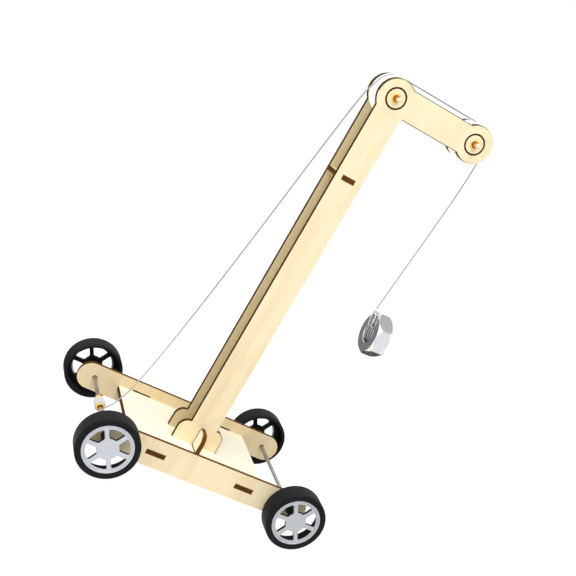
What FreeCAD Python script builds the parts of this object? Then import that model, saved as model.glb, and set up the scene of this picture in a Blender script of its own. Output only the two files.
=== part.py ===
import FreeCAD, Part
import math
import os

import Sketcher
from FreeCAD import Placement, Rotation, Vector

# A weight-driven model car in laser-cut plywood, in millimetres
# Frame: +X toward the pulley arm and the front axle, the near side at -Y, +Z up,
# origin on the floor at the middle of the car

SIZES = [
    ("ply", 3.0, "thickness of all the plywood"),
    ("wheelbase", 127.3, "rear axle to front axle"),
    ("tyre_diameter", 38.0, "wheel over the tread"),
    ("tyre_width", 13.0, "width of the tread"),
    ("track_outer", 59.7, "middle of the car to a wheel's outer face"),
    ("tread_rounding", 1.5, "rounding of the tread's two edges"),
    ("cup_radius", 16.8, "inside of the hollow wheel"),
    ("web_depth", 3.2, "outer face to the inner side of the spoked web"),
    ("cap_recess", 1.4, "depth of the recess that takes the hubcap"),
    ("cap_radius", 15.3, "hubcap's outer radius"),
    ("cap_inset", 0.3, "hubcap's face behind the wheel's outer face"),
    ("cap_play", 0.1, "hubcap's play in its recess"),
    ("window_inner", 6.5, "inner radius of the windows between the spokes"),
    ("cap_window_outer", 12.7, "outer radius of the hubcap's windows"),
    ("web_window_outer", 13.6, "outer radius of the web's windows"),
    ("spoke_width", 2.6, "width of each of the six spokes"),
    ("spoke_overlap", 0.2, "spokes run on into the rim, both ends together"),
    ("boss_radius", 2.7, "hub boss round the axle"),
    ("boss_gap", 0.4, "side play between boss and side plate"),
    ("axle_diameter", 2.5, "steel axles and pulley pins"),
    ("axle_end_cover", 2.4, "plastic between the axle's end and the wheel's outer face"),
    ("rod_chamfer", 0.3, "chamfer at the ends of axles and pins"),
    ("plate_length", 150.6, "side plate from end to end"),
    ("plate_height", 18.0, "side plate from bottom to top"),
    ("plate_inner", 37.8, "middle of the car to a side plate's inner face"),
    ("axle_hole", 3.2, "hole for an axle in a side plate"),
    ("deck_length", 94.1, "deck along the car"),
    ("deck_bottom", 17.5, "floor to the deck's underside"),
    ("deck_tab_length", 12.4, "each tab of the deck along the car"),
    ("slot_play", 0.2, "play of a tab in its slot on every side"),
    ("deck_tab_spacing", 61.0, "middle to middle of the two tabs on a side"),
    ("mast_gap", 12.9, "clear space between the two mast plates"),
    ("column_back", -8.7, "back edge of the mast's column"),
    ("column_width", 18.1, "column from back edge to front edge"),
    ("foot_back", -15.2, "back edge of the mast's foot"),
    ("foot_length", 31.0, "foot from back to front"),
    ("foot_height", 14.3, "foot above the deck"),
    ("foot_rounding", 6.3, "rounded shoulders of the foot"),
    ("mast_tab_length", 14.0, "tab of a mast plate down through the deck"),
    ("pulley_height", 267.4, "floor to the pulleys' axes"),
    ("corner_pulley_place", 0.15, "corner pulley's axis along the car"),
    ("end_pulley_place", 59.45, "end pulley's axis along the car"),
    ("arm_depth", 18.6, "arm from its lower to its upper edge"),
    ("lobe_radius", 12.05, "rounded lobe round each pin"),
    ("ring_outer", 6.8, "engraved ring round each pin, outer radius"),
    ("ring_inner", 5.7, "engraved ring round each pin, inner radius"),
    ("ring_depth", 0.2, "depth of the engraved ring"),
    ("brace_height", 210.8, "floor to the cross brace's underside"),
    ("brace_tab_back", -4.25, "back end of the brace's tabs"),
    ("brace_tab_length", 8.65, "tabs of the brace along the car"),
    ("gusset_back", -1.1, "back face of the gussets"),
    ("gusset_reach", 11.4, "gusset out from the mast plate"),
    ("gusset_height", 12.5, "gusset above the deck"),
    ("gusset_rounding", 6.0, "rounded outer corner of a gusset"),
    ("pin_length", 30.8, "pulley pin from end to end"),
    ("bush_diameter", 5.4, "amber bush round a pin"),
    ("bush_proud", 0.4, "bush beyond the mast plate's outer face"),
    ("bush_mouth_radius", 2.3, "mouth of the bush at its outer face"),
    ("bush_mouth_depth", 1.4, "depth of the bush's conical mouth"),
    ("pulley_width", 7.0, "pulley from side to side"),
    ("pulley_play", 0.3, "side play between a pulley and the bush beside it"),
    ("pulley_bore_play", 0.05, "running fit of a pulley on its pin, on the radius"),
    ("pulley_rim", 12.6, "pulley's flange radius"),
    ("pulley_groove", 11.4, "pulley's radius at the bottom of its groove"),
    ("pulley_flange", 0.8, "flat rim of each flange"),
    ("pulley_floor", 3.2, "flat bottom of the groove"),
    ("spool_diameter", 5.1, "amber spool tube on the rear axle"),
    ("spool_near_end", -5.8, "near end of the spool tube"),
    ("spool_length", 12.8, "spool tube from end to end"),
    ("spool_mouth_radius", 1.95, "mouth of the spool tube"),
    ("spool_mouth_depth", 2.2, "depth of the spool's conical mouth"),
    ("string_diameter", 0.8, "drive string"),
    ("string_wrap", 12.2, "radius of the string's middle on a pulley"),
    ("string_lean", 1.0, "string beside the middle plane, far at the corner, near at the end"),
    ("winding_end", -4.45, "near end of the winding"),
    ("winding_turns", 5.25, "turns of string on the spool"),
    ("winding_pitch", 1.26, "from one turn to the next"),
    ("nut_flats", 25.2, "hexagon nut across its flats"),
    ("nut_thickness", 10.3, "nut from face to face"),
    ("nut_bore", 12.6, "threaded hole of the nut"),
    ("nut_tilt", 3.7, "lean of the hanging nut, in degrees"),
    ("nut_place", 74.05, "nut's middle along the car"),
    ("nut_height", 132.7, "floor to the nut's middle"),
    ("nut_chamfer_radius", 12.5, "flat circle on the nut's near face"),
    ("nut_far_chamfer_radius", 13.2, "radius where the far face's smaller chamfer starts"),
    ("nut_chamfer_slope", 52.0, "nut's chamfer from its face, in degrees"),
    ("nut_mouth", 0.6, "chamfer at the mouths of the nut's hole"),
    ("knot_radius", 1.2, "knot that joins the string and its loops"),
    ("knot_half_height", 1.4, "knot from its middle to its top"),
    ("knot_back", 6.96, "nut's middle back to the knot"),
    ("knot_across", 3.8, "knot to the far side of the middle plane"),
    ("knot_rise", 13.15, "nut's middle up to the knot"),
    ("hang_bow_out", 0.8, "hanging string forward of its top end, high up"),
    ("hang_bow_back", 0.75, "hanging string back from its top end, half-way down"),
    ("hang_bow_low", 1.4, "hanging string forward of the knot, low down"),
    ("string_break", 0.3, "gap between two lengths of string on different moving bodies"),
]

# Working values that are not sizes of the object
FULL_TURN = 360.0
ARCS_PER_TURN = 8
SAMPLES_PER_TURN = 24
RUN_SHARE = 0.43
LEAST_BEND_IN_DIAMETERS = 3
VOLUME_TOLERANCE = 0.01
TINY = 1e-6

doc = FreeCAD.newDocument("weight_car")
sheet = doc.addObject("Spreadsheet::Sheet", "Sizes")
for row, (alias, number, meaning) in enumerate(SIZES, start=1):
    sheet.set(f"A{row}", meaning)
    sheet.set(f"B{row}", str(number))
    sheet.setAlias(f"B{row}", alias)
doc.recompute()


def value(text):
    """Number that an expression on the sheet gives now."""
    result = sheet.evalExpression(text)
    return float(getattr(result, "Value", result))


# Places that several pieces share, as expressions on the sheet
AXLE_Z = "Sizes.tyre_diameter / 2"
FRONT_X = "Sizes.wheelbase / 2"
REAR_X = "-Sizes.wheelbase / 2"
DECK_TOP = "(Sizes.deck_bottom + Sizes.ply)"
PLATE_OUTER = "(Sizes.plate_inner + Sizes.ply)"
MAST_INNER = "Sizes.mast_gap / 2"
MAST_OUTER = "(Sizes.mast_gap / 2 + Sizes.ply)"
COLUMN_MIDDLE = "Sizes.column_back + Sizes.column_width / 2"
AXLE_RADIUS = "Sizes.axle_diameter / 2"
BUSH_INNER = "(Sizes.pulley_width / 2 + Sizes.pulley_play)"
PULLEYS = {"corner": "Sizes.corner_pulley_place", "end": "Sizes.end_pulley_place"}
SIDES = {"near": -1, "far": 1}

# Angle round the spool at which the winding's near end stops, in degrees from +X
WINDING_LAST_ANGLE = -10.0

# Corners of the drive string's route, as shares of the wrap radius: along X, across Y and up
# from the spool's axis, then the same from the corner pulley's axis
ROUTE_FROM_SPOOL = [
    (0.246, -0.467, 0.115),
    (0.434, -0.463, 0.344),
    (0.648, -0.459, 0.762),
    (0.926, -0.451, 1.451),
    (1.123, -0.443, 2.262),
    (1.426, -0.406, 3.689),
    (1.889, -0.336, 6.230),
]
ROUTE_TO_PULLEY = [
    (-2.611, -0.221, -9.443),
    (-2.094, -0.131, -5.811),
    (-1.672, -0.049, -2.951),
    (-1.434, 0.016, -1.475),
    (-1.217, 0.066, -0.369),
]
# Inner corners of the hanging string: share of the way down, and how far across it is
HANG_CORNERS = [(0.166, 0.156), (0.462, 0.458), (0.792, 0.792)]

# Corners of the string round a pulley, in wrap radii from its axis along X and Z
CORNER_WRAP = [(-0.8223, 0.6482), (-0.3105, 1.0)]
END_WRAP = [(0.2679, 1.0), (0.7321, 0.7321), (1.0, 0.2679)]
END_WRAP_EXIT = [(1.0, 0.0)]

# Corners of the two loops through the nut's hole, in the nut's own frame and as shares of
# half its width across the flats: forward out of its near face, across, and up
LOOP_ROUTES = {
    "far": [(0.494, 0.357, 1.008), (0.486, 0.421, 0.754), (0.496, 0.295, 0.27),
            (-0.54, 0.28, 0.26), (-0.5, 0.389, 1.02), (0.254, 0.389, 1.0),
            (0.424, 0.357, 1.071)],
    "near": [(0.502, 0.238, 1.063), (0.493, -0.063, 0.96), (0.503, -0.075, 0.34),
             (-0.52, -0.048, 0.33), (-0.48, 0.254, 1.09), (0.254, 0.254, 1.08),
             (0.424, 0.246, 1.103)],
}


def span(side, inner, outer):
    """Low and high y of a piece between two distances from the middle plane."""
    if side > 0:
        return inner, outer
    return f"-({outer})", f"-({inner})"


# Sketched plates


def new_body(label):
    body = doc.addObject("PartDesign::Body", label)
    body.Label = label
    return body


def xz_plane(body):
    for feature in body.Origin.OriginFeatures:
        if feature.Role == "XZ_Plane":
            return feature
    raise RuntimeError("the body has no XZ plane")


def disc(radius):
    """Outline function: one circle round the sketch's origin."""
    def draw(sketch):
        circle = sketch.addGeometry(Part.Circle(Vector(), Vector(0, 0, 1), value(radius)), False)
        sketch.addConstraint(Sketcher.Constraint("Coincident", circle, 3, -1, 1))
        size = sketch.addConstraint(Sketcher.Constraint("Radius", circle, value(radius)))
        sketch.setExpression(f"Constraints[{size}]", radius)
    return draw


def ring(inner, outer):
    """Outline function: two circles round the sketch's origin."""
    def draw(sketch):
        disc(outer)(sketch)
        disc(inner)(sketch)
    return draw


def rectangle(width, height):
    """Outline function: a rectangle with the sketch's origin in its middle."""
    def draw(sketch):
        half_width = value(width) / 2
        half_height = value(height) / 2
        corners = [
            Vector(-half_width, -half_height, 0),
            Vector(half_width, -half_height, 0),
            Vector(half_width, half_height, 0),
            Vector(-half_width, half_height, 0),
        ]
        lines = []
        for here, after in zip(corners, corners[1:] + corners[:1]):
            lines.append(sketch.addGeometry(Part.LineSegment(here, after), False))
        for here, after in zip(lines, lines[1:] + lines[:1]):
            sketch.addConstraint(Sketcher.Constraint("Coincident", here, 2, after, 1))
        for line in lines[0::2]:
            sketch.addConstraint(Sketcher.Constraint("Horizontal", line))
        for line in lines[1::2]:
            sketch.addConstraint(Sketcher.Constraint("Vertical", line))
        sketch.addConstraint(Sketcher.Constraint("Symmetric", lines[0], 1, lines[1], 2, -1, 1))
        across = sketch.addConstraint(
            Sketcher.Constraint("DistanceX", lines[0], 1, lines[0], 2, value(width)))
        upward = sketch.addConstraint(
            Sketcher.Constraint("DistanceY", lines[1], 1, lines[1], 2, value(height)))
        sketch.setExpression(f"Constraints[{across}]", width)
        sketch.setExpression(f"Constraints[{upward}]", height)
    return draw


def prism(body, draw, x, z, y_span, cut=False, turn=0):
    """Add an outline at (x, z) through a span of y, or cut it away."""
    low, high = y_span
    sketch = body.newObject("Sketcher::SketchObject", f"{body.Label}_outline")
    sketch.AttachmentSupport = [(xz_plane(body), "")]
    sketch.MapMode = "FlatFace"
    sketch.AttachmentOffset = Placement(Vector(), Rotation(Vector(0, 0, 1), turn))
    sketch.setExpression("AttachmentOffset.Base.x", x)
    sketch.setExpression("AttachmentOffset.Base.y", z)
    sketch.setExpression("AttachmentOffset.Base.z", f"-({low if cut else high})")
    draw(sketch)
    kind = "PartDesign::Pocket" if cut else "PartDesign::Pad"
    feature = body.newObject(kind, f"{body.Label}_{'cut' if cut else 'solid'}")
    feature.Profile = sketch
    feature.setExpression("Length", f"({high}) - ({low})")


def round_edges(body, radius, wanted):
    """Round the edges of the body's last feature that the function wanted picks."""
    doc.recompute()
    last = body.Tip
    names = [f"Edge{n}" for n, edge in enumerate(last.Shape.Edges, start=1) if wanted(edge)]
    fillet = body.newObject("PartDesign::Fillet", f"{body.Label}_rounding")
    fillet.Base = (last, names)
    fillet.setExpression("Radius", radius)
    body.Tip = fillet


def side_plate(name, side):
    body = new_body(f"{name}_side_plate")
    through = span(side, "Sizes.plate_inner", PLATE_OUTER)
    end_x = "(Sizes.plate_length - Sizes.plate_height) / 2"
    prism(body, rectangle("Sizes.plate_length - Sizes.plate_height", "Sizes.plate_height"),
          "0", AXLE_Z, through)
    for sign in ("", "-"):
        prism(body, disc("Sizes.plate_height / 2"), sign + end_x, AXLE_Z, through)
    slot = rectangle("Sizes.deck_tab_length + 2 * Sizes.slot_play",
                     "Sizes.ply + 2 * Sizes.slot_play")
    for sign in ("", "-"):
        prism(body, disc("Sizes.axle_hole / 2"), sign + FRONT_X, AXLE_Z, through, cut=True)
        prism(body, slot, f"{sign}Sizes.deck_tab_spacing / 2",
              "Sizes.deck_bottom + Sizes.ply / 2", through, cut=True)
    return body


def deck_plate():
    body = new_body("deck_plate")
    middle_z = "Sizes.deck_bottom + Sizes.ply / 2"
    prism(body, rectangle("Sizes.deck_length", "Sizes.ply"), "0", middle_z,
          ("-Sizes.plate_inner", "Sizes.plate_inner"))
    for sign in ("", "-"):
        prism(body, rectangle("Sizes.deck_tab_length", "Sizes.ply"),
              f"{sign}Sizes.deck_tab_spacing / 2", middle_z, (f"-{PLATE_OUTER}", PLATE_OUTER))
    for side in SIDES.values():
        prism(body, rectangle("Sizes.mast_tab_length", "Sizes.ply"), COLUMN_MIDDLE, middle_z,
              span(side, MAST_INNER, MAST_OUTER), cut=True)
    return body


def mast_plate(name, side):
    body = new_body(f"{name}_mast_plate")
    through = span(side, MAST_INNER, MAST_OUTER)
    column_height = f"(Sizes.pulley_height - {DECK_TOP})"
    prism(body, rectangle("Sizes.column_width", column_height), COLUMN_MIDDLE,
          f"{DECK_TOP} + {column_height} / 2", through)
    prism(body, rectangle("Sizes.mast_tab_length", "2 * Sizes.ply"), COLUMN_MIDDLE, DECK_TOP,
          through)
    foot_middle = "Sizes.foot_back + Sizes.foot_length / 2"
    shoulder = f"({DECK_TOP} + Sizes.foot_height - Sizes.foot_rounding)"
    prism(body, rectangle("Sizes.foot_length", "Sizes.foot_height - Sizes.foot_rounding"),
          foot_middle, f"{DECK_TOP} + (Sizes.foot_height - Sizes.foot_rounding) / 2", through)
    for sign in ("+", "-"):
        prism(body, disc("Sizes.foot_rounding"),
              f"{foot_middle} {sign} (Sizes.foot_length / 2 - Sizes.foot_rounding)", shoulder,
              through)
    arm_length = "(Sizes.end_pulley_place - Sizes.corner_pulley_place)"
    prism(body, rectangle(arm_length, "Sizes.arm_depth"),
          f"Sizes.corner_pulley_place + {arm_length} / 2", "Sizes.pulley_height", through)
    for place in PULLEYS.values():
        prism(body, disc("Sizes.lobe_radius"), place, "Sizes.pulley_height", through)
    prism(body, rectangle("Sizes.brace_tab_length + 2 * Sizes.slot_play",
                          "Sizes.ply + 2 * Sizes.slot_play"),
          "Sizes.brace_tab_back + Sizes.brace_tab_length / 2",
          "Sizes.brace_height + Sizes.ply / 2", through, cut=True)
    engraved = span(side, f"{MAST_OUTER} - Sizes.ring_depth", MAST_OUTER)
    for place in PULLEYS.values():
        prism(body, disc("Sizes.bush_diameter / 2"), place, "Sizes.pulley_height", through,
              cut=True)
        prism(body, ring("Sizes.ring_inner", "Sizes.ring_outer"), place, "Sizes.pulley_height",
              engraved, cut=True)
    return body


def cross_brace():
    body = new_body("mast_cross_brace")
    middle_z = "Sizes.brace_height + Sizes.ply / 2"
    prism(body, rectangle("Sizes.column_width", "Sizes.ply"), COLUMN_MIDDLE, middle_z,
          (f"-{MAST_INNER}", MAST_INNER))
    prism(body, rectangle("Sizes.brace_tab_length", "Sizes.ply"),
          "Sizes.brace_tab_back + Sizes.brace_tab_length / 2", middle_z,
          (f"-{MAST_OUTER}", MAST_OUTER))
    return body


def gusset(name, side):
    body = new_body(f"{name}_gusset")
    reach = f"({MAST_OUTER} + Sizes.gusset_reach)"
    prism(body, rectangle("Sizes.ply", "Sizes.gusset_height"),
          "Sizes.gusset_back + Sizes.ply / 2", f"{DECK_TOP} + Sizes.gusset_height / 2",
          span(side, MAST_OUTER, reach))
    outer_y = side * value(reach)
    top_z = value(f"{DECK_TOP} + Sizes.gusset_height")

    def is_outer_top(edge):
        middle = edge.CenterOfMass
        return abs(middle.y - outer_y) < TINY and abs(middle.z - top_z) < TINY

    round_edges(body, "Sizes.gusset_rounding", is_outer_top)
    return body


# Wheels, drawn with the outer face at local y = 0 and the hub toward +Y


def stand_wheel_piece(body, x, side):
    """Place a wheel or hubcap, turned half round for the far side."""
    body.Placement = Placement(Vector(), Rotation(Vector(0, 0, 1), 0 if side < 0 else 180))
    body.setExpression("Placement.Base.x", x)
    body.setExpression("Placement.Base.y", f"{side} * Sizes.track_outer")
    body.setExpression("Placement.Base.z", AXLE_Z)


def spokes(body, outer, y_span):
    """Cut a ring of windows, then put three bars across it: six spokes."""
    prism(body, ring("Sizes.window_inner", outer), "0", "0", y_span, cut=True)
    for turn in (0, 60, 120):
        prism(body, rectangle(f"2 * {outer} + Sizes.spoke_overlap", "Sizes.spoke_width"), "0", "0",
              y_span, turn=turn)


def wheel(label, x, side):
    body = new_body(label)
    prism(body, disc("Sizes.tyre_diameter / 2"), "0", "0", ("0", "Sizes.tyre_width"))
    tread_radius = value("Sizes.tyre_diameter / 2")

    def is_tread_edge(edge):
        return isinstance(edge.Curve, Part.Circle) and abs(edge.Curve.Radius - tread_radius) < TINY

    round_edges(body, "Sizes.tread_rounding", is_tread_edge)
    prism(body, disc("Sizes.cup_radius"), "0", "0", ("Sizes.web_depth", "Sizes.tyre_width"),
          cut=True)
    prism(body, disc("Sizes.cap_radius"), "0", "0", ("0", "Sizes.cap_recess"), cut=True)
    spokes(body, "Sizes.web_window_outer", ("Sizes.cap_recess", "Sizes.web_depth"))
    boss_end = f"Sizes.track_outer - {PLATE_OUTER} - Sizes.boss_gap"
    prism(body, disc("Sizes.boss_radius"), "0", "0", ("Sizes.axle_end_cover", boss_end))
    prism(body, disc(AXLE_RADIUS), "0", "0", ("Sizes.axle_end_cover", boss_end), cut=True)
    stand_wheel_piece(body, x, side)
    return body


def hubcap(label, x, side):
    body = new_body(label)
    thickness = ("Sizes.cap_inset", "Sizes.cap_recess")
    prism(body, disc("Sizes.cap_radius - Sizes.cap_play"), "0", "0", thickness)
    spokes(body, "Sizes.cap_window_outer", thickness)
    stand_wheel_piece(body, x, side)
    return body


# Turned pieces, built along local Z from cylinders and cones


def stack(label, sections, start):
    """Sections of start radius, end radius and height, one on the next from z = start."""
    pieces = []
    z = start
    for first_radius, last_radius, height in sections:
        if first_radius == last_radius:
            piece = doc.addObject("Part::Cylinder", f"{label}_cylinder")
            piece.setExpression("Radius", first_radius)
        else:
            piece = doc.addObject("Part::Cone", f"{label}_cone")
            piece.setExpression("Radius1", first_radius)
            piece.setExpression("Radius2", last_radius)
        piece.setExpression("Height", height)
        piece.setExpression("Placement.Base.z", z)
        z = f"{z} + ({height})"
        pieces.append(piece)
    if len(pieces) == 1:
        return pieces[0]
    joined = doc.addObject("Part::MultiFuse", f"{label}_stack")
    joined.Shapes = pieces
    return joined


def boolean(kind, label, base, tool):
    result = doc.addObject(kind, label)
    result.Base = base
    result.Tool = tool
    return result


def lay_along_y(piece, label, x, z):
    """Turn a piece's local Z to +Y and put its axis at (x, z)."""
    piece.Label = label
    piece.Placement = Placement(Vector(), Rotation(Vector(1, 0, 0), -90))
    piece.setExpression("Placement.Base.x", x)
    piece.setExpression("Placement.Base.z", z)
    return piece


def rod(label, x, z, length):
    """Steel rod with chamfered ends, its middle at y = 0."""
    end_radius = f"{AXLE_RADIUS} - Sizes.rod_chamfer"
    sections = [
        (end_radius, AXLE_RADIUS, "Sizes.rod_chamfer"),
        (AXLE_RADIUS, AXLE_RADIUS, f"{length} - 2 * Sizes.rod_chamfer"),
        (AXLE_RADIUS, end_radius, "Sizes.rod_chamfer"),
    ]
    return lay_along_y(stack(label, sections, f"-({length}) / 2"), label, x, z)


def sleeve(label, x, z, y_span, outer_radius, mouth_radius, mouth_depth, mouths):
    """Amber tube on a rod, with a conical mouth at the low end, the high end or both."""
    low, high = y_span
    length = f"(({high}) - ({low}))"
    tube = stack(f"{label}_outside", [(outer_radius, outer_radius, length)], low)
    hollow_sections = []
    plain_length = length
    if "low" in mouths:
        hollow_sections.append((mouth_radius, AXLE_RADIUS, mouth_depth))
        plain_length = f"{plain_length} - {mouth_depth}"
    if "high" in mouths:
        plain_length = f"{plain_length} - {mouth_depth}"
    hollow_sections.append((AXLE_RADIUS, AXLE_RADIUS, plain_length))
    if "high" in mouths:
        hollow_sections.append((AXLE_RADIUS, mouth_radius, mouth_depth))
    hollow = stack(f"{label}_inside", hollow_sections, low)
    return lay_along_y(boolean("Part::Cut", label, tube, hollow), label, x, z)


def pulley(label, x):
    width = "Sizes.pulley_width"
    slope = f"(({width} - Sizes.pulley_floor) / 2 - Sizes.pulley_flange)"
    rim = "Sizes.pulley_rim"
    groove = "Sizes.pulley_groove"
    sections = [
        (rim, rim, "Sizes.pulley_flange"),
        (rim, groove, slope),
        (groove, groove, "Sizes.pulley_floor"),
        (groove, rim, slope),
        (rim, rim, "Sizes.pulley_flange"),
    ]
    disc_body = stack(f"{label}_outside", sections, f"-{width} / 2")
    bore_radius = f"{AXLE_RADIUS} + Sizes.pulley_bore_play"
    bore = stack(f"{label}_bore", [(bore_radius, bore_radius, width)], f"-{width} / 2")
    return lay_along_y(boolean("Part::Cut", label, disc_body, bore), label, x,
                       "Sizes.pulley_height")


# The hanging nut: its hole points toward -X and a corner of the hexagon points up


def nut_placement():
    return Placement(Vector(value("Sizes.nut_place"), 0, value("Sizes.nut_height")),
                     Rotation(Vector(0, 1, 0), -90 - value("Sizes.nut_tilt")))


def weight_nut():
    label = "weight_nut"
    corner = "Sizes.nut_flats / sqrt(3)"
    half = "Sizes.nut_thickness / 2"
    hexagon = doc.addObject("Part::Prism", f"{label}_hexagon")
    hexagon.Polygon = 6
    hexagon.setExpression("Circumradius", corner)
    hexagon.setExpression("Height", "Sizes.nut_thickness")
    hexagon.setExpression("Placement.Base.z", f"-{half}")
    steepness = "tan(Sizes.nut_chamfer_slope * 1 deg)"
    near_drop = f"(({corner} - Sizes.nut_chamfer_radius) * {steepness})"
    far_drop = f"(({corner} - Sizes.nut_far_chamfer_radius) * {steepness})"
    blank = stack(f"{label}_blank", [
        ("Sizes.nut_far_chamfer_radius", corner, far_drop),
        (corner, corner, f"Sizes.nut_thickness - {near_drop} - {far_drop}"),
        (corner, "Sizes.nut_chamfer_radius", near_drop),
    ], f"-{half}")
    bore = "Sizes.nut_bore / 2"
    mouth = f"{bore} + Sizes.nut_mouth"
    hole = stack(f"{label}_hole", [
        (mouth, bore, "Sizes.nut_mouth"),
        (bore, bore, "Sizes.nut_thickness - 2 * Sizes.nut_mouth"),
        (bore, mouth, "Sizes.nut_mouth"),
    ], f"-{half}")
    solid = boolean("Part::Common", f"{label}_chamfered", hexagon, blank)
    nut = boolean("Part::Cut", label, solid, hole)
    nut.Label = label
    nut.Placement = nut_placement()
    nut.setExpression("Placement.Base.x", "Sizes.nut_place")
    nut.setExpression("Placement.Base.z", "Sizes.nut_height")
    return nut


# String: straight runs joined by tangent arcs, swept with a round section


def run_and_arc_edges(points, radii):
    """Edges along the points; radii holds the arc radius wanted at a point's number."""
    edges = []
    used_radii = []
    reached = points[0]
    for number in range(1, len(points) - 1):
        corner = points[number]
        back = points[number - 1] - corner
        onward = points[number + 1] - corner
        half_turn = (math.pi - back.getAngle(onward)) / 2
        free_radius = RUN_SHARE * min(back.Length, onward.Length) / math.tan(half_turn)
        radius = radii.get(number, free_radius)
        cut_back = radius * math.tan(half_turn)
        back.normalize()
        onward.normalize()
        inward = (back + onward).normalize()
        arc_start = corner + back * cut_back
        arc_middle = corner + inward * (radius / math.cos(half_turn) - radius)
        arc_end = corner + onward * cut_back
        if (arc_start - reached).Length > TINY:
            edges.append(Part.LineSegment(reached, arc_start).toShape())
        edges.append(Part.Arc(arc_start, arc_middle, arc_end).toShape())
        used_radii.append(radius)
        reached = arc_end
    if (points[-1] - reached).Length > TINY:
        edges.append(Part.LineSegment(reached, points[-1]).toShape())
    return edges, used_radii


def string_piece(label, points, radii=None):
    """One length of string as a document object; prints its radii and checks its volume."""
    points = [Vector(*point) for point in points]
    radius = value("Sizes.string_diameter") / 2
    edges, used_radii = run_and_arc_edges(points, radii or {})
    path = Part.Wire(edges)
    section = Part.Wire(Part.makeCircle(radius, points[0], points[1] - points[0]))
    shape = path.makePipeShell([section], True, False)
    expected = math.pi * radius ** 2 * path.Length
    share = shape.Volume / expected
    print(f"{label}: length {path.Length:.1f} mm, volume over section times length {share:.4f}, "
          f"least arc radius {min(used_radii):.2f} mm")
    print("   arc radii", " ".join(f"{r:.1f}" for r in used_radii))
    if abs(share - 1) > VOLUME_TOLERANCE:
        raise RuntimeError(f"{label} has the wrong volume")
    piece = doc.addObject("Part::Feature", label)
    piece.Label = label
    piece.Shape = shape
    return piece


def winding_route():
    """Corners of a polygon round the helix, each side touching it at its middle."""
    turns = value("Sizes.winding_turns")
    pitch = value("Sizes.winding_pitch")
    diameter = value("Sizes.string_diameter")
    helix_radius = (value("Sizes.spool_diameter") + diameter) / 2
    step = FULL_TURN / ARCS_PER_TURN
    corner_radius = helix_radius / math.cos(math.radians(step / 2))
    near_end = value("Sizes.winding_end")
    centre_x = value(REAR_X)
    centre_z = value(AXLE_Z)

    def on_helix(angle, radius):
        y = near_end + pitch * (WINDING_LAST_ANGLE - angle) / FULL_TURN
        return Vector(centre_x + radius * math.cos(math.radians(angle)), y,
                      centre_z + radius * math.sin(math.radians(angle)))

    corner_count = round(turns * ARCS_PER_TURN)
    before_first = WINDING_LAST_ANGLE - turns * FULL_TURN - step / 2
    corners = [on_helix(before_first + n * step, corner_radius) for n in range(corner_count + 2)]
    half_side = (corners[1] - corners[0]).Length / 2
    end_run = half_side + diameter
    start = corners[1] + (corners[0] - corners[1]).normalize() * end_run
    finish = corners[-2] + (corners[-1] - corners[-2]).normalize() * end_run
    half_turn = (corners[1] - corners[0]).getAngle(corners[2] - corners[1]) / 2
    arc_radius = half_side / math.tan(half_turn)
    radii = {number: arc_radius for number in range(1, corner_count + 1)}
    sample_step = FULL_TURN / SAMPLES_PER_TURN
    samples = [on_helix(WINDING_LAST_ANGLE - n * sample_step, helix_radius)
               for n in range(int(turns * SAMPLES_PER_TURN))]
    gaps = [(later - first).Length for number, first in enumerate(samples)
            for later in samples[number + SAMPLES_PER_TURN // 2:]]
    print(f"string_winding: least gap to itself {min(gaps) - diameter:.3f} mm")
    return [start] + corners[1:-1] + [finish], radii


def wrap_points(place, corners, across):
    """Corners round a pulley, given in wrap radii from its axis along X and Z."""
    centre_x = value(place)
    centre_z = value("Sizes.pulley_height")
    wrap = value("Sizes.string_wrap")
    return [(centre_x + wrap * along, across, centre_z + wrap * up) for along, up in corners]


def from_axis(place, height, corners):
    """Corners given in wrap radii from an axis, in the frame."""
    centre = Vector(value(place), 0, value(height))
    wrap = value("Sizes.string_wrap")
    return [tuple(centre + Vector(*corner) * wrap) for corner in corners]


def drive_string():
    """From the spool up to the corner pulley, along the arm and over the end pulley."""
    wrap = value("Sizes.string_wrap")
    lean = value("Sizes.string_lean")
    route = from_axis(REAR_X, AXLE_Z, ROUTE_FROM_SPOOL)
    route += from_axis(PULLEYS["corner"], "Sizes.pulley_height", ROUTE_TO_PULLEY)
    first_wrap = len(route)
    route += wrap_points(PULLEYS["corner"], CORNER_WRAP, lean)
    route += wrap_points(PULLEYS["end"], END_WRAP, -lean)
    radii = {number: wrap for number in range(first_wrap, len(route))}
    route += wrap_points(PULLEYS["end"], END_WRAP_EXIT, -lean)
    return string_piece("drive_string", route, radii)


def hanging_string():
    """Down from the end pulley to the knot on the weight."""
    gap = value("Sizes.string_break")
    top_x = value(f"{PULLEYS['end']} + Sizes.string_wrap")
    top_z = value("Sizes.pulley_height") - gap
    knot_x = value("Sizes.nut_place - Sizes.knot_back")
    knot_y = value("Sizes.knot_across")
    knot_top = value("Sizes.nut_height + Sizes.knot_rise + Sizes.knot_half_height") + gap
    top_y = -value("Sizes.string_lean")
    places = (top_x + value("Sizes.hang_bow_out"), top_x - value("Sizes.hang_bow_back"),
              knot_x + value("Sizes.hang_bow_low"))
    route = [(x, top_y + across * (knot_y - top_y), top_z + down * (knot_top - top_z))
             for x, (down, across) in zip(places, HANG_CORNERS)]
    ends = [(top_x, top_y, top_z), (knot_x, knot_y, knot_top)]
    return string_piece("hanging_string", ends[:1] + route + ends[1:])


def weight_loop(name, corners):
    """A loop through the nut's hole and over its rim, in the nut's own frame."""
    place = nut_placement()
    unit = value("Sizes.nut_flats / 2")
    route = [place.multVec(Vector(up, across, forward) * unit)
             for forward, across, up in corners]
    least_bend = LEAST_BEND_IN_DIAMETERS * value("Sizes.string_diameter")
    radii = {number: least_bend for number in range(1, len(route) - 1)}
    return string_piece(f"{name}_weight_loop", route, radii)


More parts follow.
